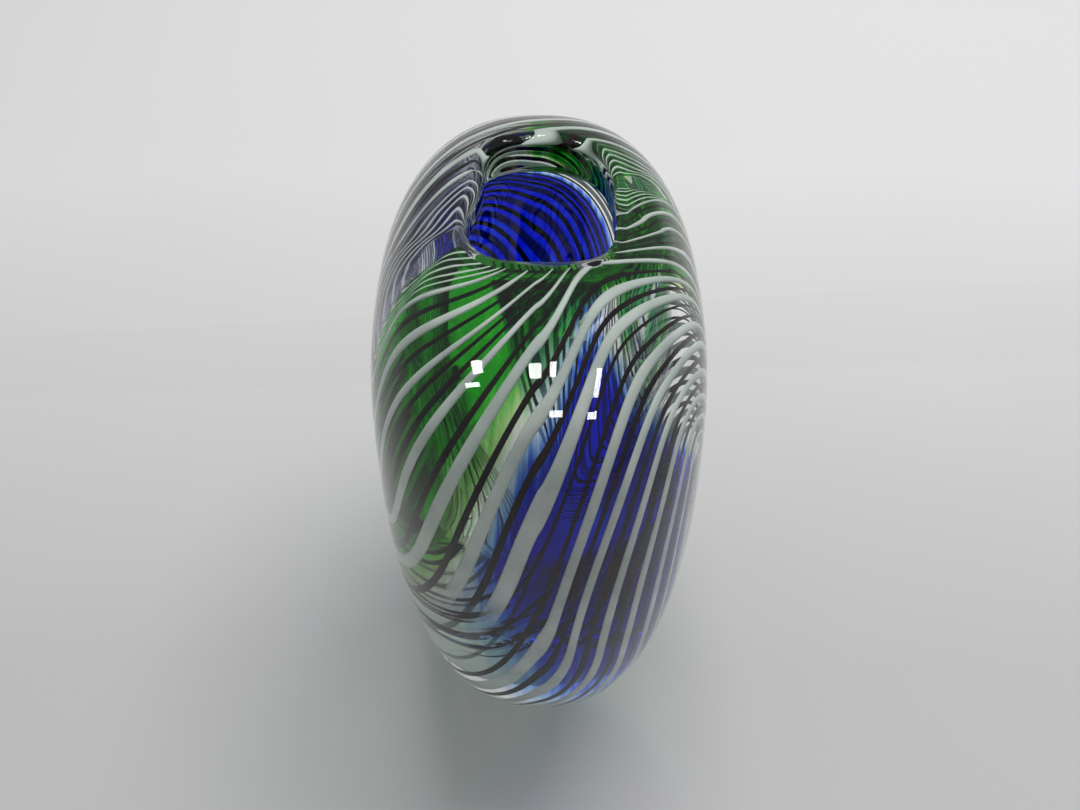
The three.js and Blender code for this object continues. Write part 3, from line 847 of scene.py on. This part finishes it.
# Sweep: y, z and skew, which is how far y changes for each metre of x.
SWEEP_HALF_WIDTH = 2.0
SWEEP_PROFILE = (
    (-1.2, 0.0, 0.0),
    (-0.2, 0.0, 0.0),
    (0.125, 0.0, 0.045),
    (0.3, 0.012, 0.0),
    (1.2, 0.10, 0.0),
    (2.2, 0.35, 0.0),
    (2.6, 1.6, 0.0),
)
# Painted shadow: the paper is painted darker at and in front of the vase, and turns to its plain
# colour over a short grade behind it.
PAINTED_SHADOW_PAPER = (0.52, 0.515, 0.515)
FAR_PAPER = (0.7, 0.695, 0.69)
PAINTED_SHADOW_LENGTH = 0.3

CAMERA_PLACE = (0.00022, -0.2913, 0.3986)
CAMERA_TILT = 45  # degrees up from straight down
CAMERA_ROLL = -0.008  # radians
SENSOR_WIDTH = 36  # millimetres, as is the lens
LENS = 41.6
SKY_COLOUR = (0.95, 0.965, 1.0, 1)
SKY_STRENGTH = 0.38
CEILING_PLACE = (0.3, 0.4, 1.5)
CEILING_SIZE = (1.1, 0.9)
CEILING_POWER = 20


def sweep():
    """Pale paper on the table, with a fold behind the vase, a little askew, and a rise."""
    points = []
    for y, z, skew in SWEEP_PROFILE:
        for x in (-SWEEP_HALF_WIDTH, SWEEP_HALF_WIDTH):
            points.append((x, y + skew * x, z))
    spans = range(len(SWEEP_PROFILE) - 1)
    faces = [(2 * k, 2 * k + 1, 2 * k + 3, 2 * k + 2) for k in spans]
    mesh = bpy.data.meshes.new("sweep")
    mesh.from_pydata(points, [], faces)
    floor = bpy.data.objects.new("sweep", mesh)
    bpy.context.scene.collection.objects.link(floor)
    mesh.materials.append(paper("sweep_paper_painted_shadow", PAINTED_SHADOW_PAPER, FAR_PAPER, PAINTED_SHADOW_LENGTH))


def area_light(name, location, target, size, power):
    """A rectangular lamp that faces a target, with its width as level as it can be."""
    lamp = bpy.data.lights.new(name, "AREA")
    lamp.shape = "RECTANGLE"
    lamp.size, lamp.size_y = size
    lamp.energy = power
    lamp_object = bpy.data.objects.new(name, lamp)
    lamp_object.location = location
    backwards = (Vector(location) - Vector(target)).normalized()
    side = (Vector((1, 0, 0)) - backwards * backwards.x).normalized()
    axes = Matrix((side, backwards.cross(side), backwards)).transposed()
    lamp_object.rotation_euler = axes.to_euler()
    bpy.context.scene.collection.objects.link(lamp_object)
    return lamp_object


def camera():
    """Looks down on the narrow front of the vase."""
    lens = bpy.data.cameras.new("camera")
    lens.sensor_width = SENSOR_WIDTH
    lens.lens = LENS
    eye = bpy.data.objects.new("camera", lens)
    tilt = Matrix.Rotation(math.radians(CAMERA_TILT), 4, "X")
    roll = Matrix.Rotation(CAMERA_ROLL, 4, "Z")
    eye.matrix_world = Matrix.Translation(CAMERA_PLACE) @ tilt @ roll
    bpy.context.scene.collection.objects.link(eye)
    bpy.context.scene.camera = eye


def daylight():
    """Even, slightly cool light from all round."""
    world = bpy.data.worlds.new("studio")
    bpy.context.scene.world = world
    world.use_nodes = True
    background = world.node_tree.nodes["Background"]
    background.inputs["Color"].default_value = SKY_COLOUR
    background.inputs["Strength"].default_value = SKY_STRENGTH


def window_panes():
    """Small bright panes that only show as reflections in the glass."""
    for number, (bearing, elevation, *arcs) in enumerate(WINDOW_PANES, 1):
        turn = Matrix.Rotation(math.radians(bearing), 3, "Z")
        tip = Matrix.Rotation(math.radians(-elevation), 3, "X")
        direction = turn @ tip @ Vector((0, -1, 0))
        spot = Vector(FRONT_SHOULDER) + direction * PANE_DISTANCE
        wide, high = (PANE_DISTANCE * 2 * math.tan(math.radians(arc / 2)) for arc in arcs)
        power = PANE_BRIGHTNESS * wide * high
        pane = area_light(f"pane_{number}", spot, FRONT_SHOULDER, (wide, high), power)
        pane.visible_diffuse = False
        pane.visible_transmission = False
        pane.visible_camera = False


sweep()
camera()
daylight()
window_panes()
ceiling = area_light("ceiling", CEILING_PLACE, (0, 0, 0.1), CEILING_SIZE, CEILING_POWER)
ceiling.visible_glossy = False

cycles = bpy.context.scene.cycles
cycles.max_bounces = 20
cycles.transmission_bounces = 16
cycles.glossy_bounces = 6
cycles.transparent_max_bounces = 40
cycles.caustics_refractive = False
cycles.caustics_reflective = False
bpy.context.scene.view_settings.view_transform = "Standard"
